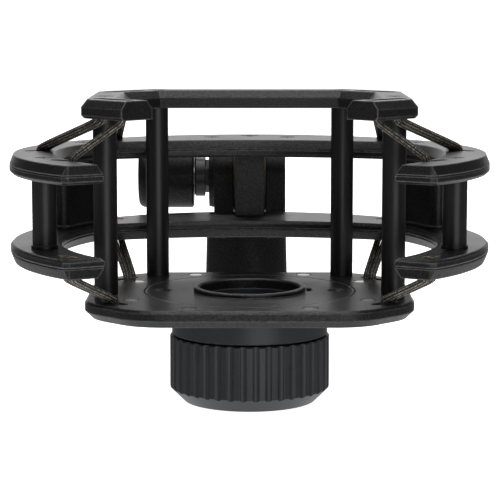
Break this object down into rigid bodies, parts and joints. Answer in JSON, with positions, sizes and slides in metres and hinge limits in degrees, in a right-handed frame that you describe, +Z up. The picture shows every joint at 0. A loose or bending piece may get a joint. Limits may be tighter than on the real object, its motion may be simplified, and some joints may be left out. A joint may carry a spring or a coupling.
{
  "type": "microphone shock mount",
  "caption": "Elastic suspension cradle for a side-address studio microphone: an open C-shaped frame, braided cords, a knurled lock ring and a tilting stand adapter.",
  "frame": {"origin": "axis of the microphone bore, at the base plate's top face", "axes": "+Z up along the bore, -Y towards the open front, +Y towards the stand adapter, +X to the right seen from the front"},
  "size_m": [0.125, 0.1336, 0.0801],
  "materials": {
    "moulded_black": "fine grained",
    "moulded_charcoal": "fine grained",
    "adapter_black": "fine grained",
    "post_black": "satin",
    "ring_charcoal": "black anodised",
    "cord_black": "braided",
    "screw_black": "blackened",
    "plug_gloss": "glossy",
    "brass_fitting": "bright",
    "steel_fitting": "turned",
    "fibre_washer": "pressed fibre"
  },
  "bodies": {
    "stand_adapter": {"adapter_body": "adapter_black", "thread_insert": "steel_fitting", "thread_reducer": "brass_fitting", "pivot_bolt": "steel_fitting", "pivot_nut": "screw_black", "clamp_collar": "screw_black"},
    "knob": {"clamp_knob": "adapter_black", "knob_core": "brass_fitting"},
    "outer_frame": {"upper_ring_cap": "moulded_black", "upper_ring_base": "moulded_black", "lower_ring_cap": "moulded_black", "lower_ring_base": "moulded_black", "frame_post_left": "post_black", "frame_post_right": "post_black", "side_wall_left": "moulded_black", "side_wall_right": "moulded_black", "upper_ring_screws": "screw_black", "lower_ring_screws": "screw_black", "tongue": "moulded_charcoal", "tongue_screws": "screw_black", "friction_washers": "fibre_washer", "upper_ferrules": "brass_fitting", "lower_ferrules": "brass_fitting", "upper_cord_left_long": "cord_black", "upper_cord_right_long": "cord_black", "upper_cord_left_short": "cord_black", "upper_cord_right_short": "cord_black", "upper_cord_left_back": "cord_black", "upper_cord_right_back": "cord_black", "lower_cord_left_front": "cord_black", "lower_cord_right_front": "cord_black", "lower_cord_left_back": "cord_black", "lower_cord_right_back": "cord_black"},
    "cradle": {"base_plate": "moulded_black", "collar_disc": "moulded_black", "neck_ring": "ring_charcoal", "disc_screws": "screw_black", "plate_plugs": "plug_gloss", "cradle_post_front_left": "post_black", "cradle_post_front_right": "post_black", "cradle_post_back_left": "post_black", "cradle_post_back_right": "post_black", "cradle_top_ring": "moulded_black", "cradle_top_screws": "screw_black", "cradle_base_screws": "screw_black", "snap_ring": "steel_fitting"},
    "lock_ring": {"lock_ring": "ring_charcoal"}
  },
  "joints": [
    {"name": "frame_tilt", "type": "hinge", "parent": "stand_adapter", "child": "outer_frame", "pos_m": [0, 0.08, 0.02265], "axis": [1, 0, 0], "range_deg": [-100, 10]},
    {"name": "knob_turn", "type": "hinge", "parent": "stand_adapter", "child": "knob", "pos_m": [-0.025, 0.08, 0.02265], "axis": [1, 0, 0], "continuous": true},
    {"name": "cradle_bounce", "type": "slide", "parent": "outer_frame", "child": "cradle", "axis": [0, 0, 1], "range_m": [-0.004, 0.004], "stiffness_N_per_m": 2500, "deforming": ["upper_cord_left_long", "upper_cord_right_long", "upper_cord_left_short", "upper_cord_right_short", "upper_cord_left_back", "upper_cord_right_back", "lower_cord_left_front", "lower_cord_right_front", "lower_cord_left_back", "lower_cord_right_back"]},
    {"name": "lock_ring_turn", "type": "hinge", "parent": "cradle", "child": "lock_ring", "pos_m": [0, 0, -0.02], "axis": [0, 0, 1], "continuous": true}
  ]
}
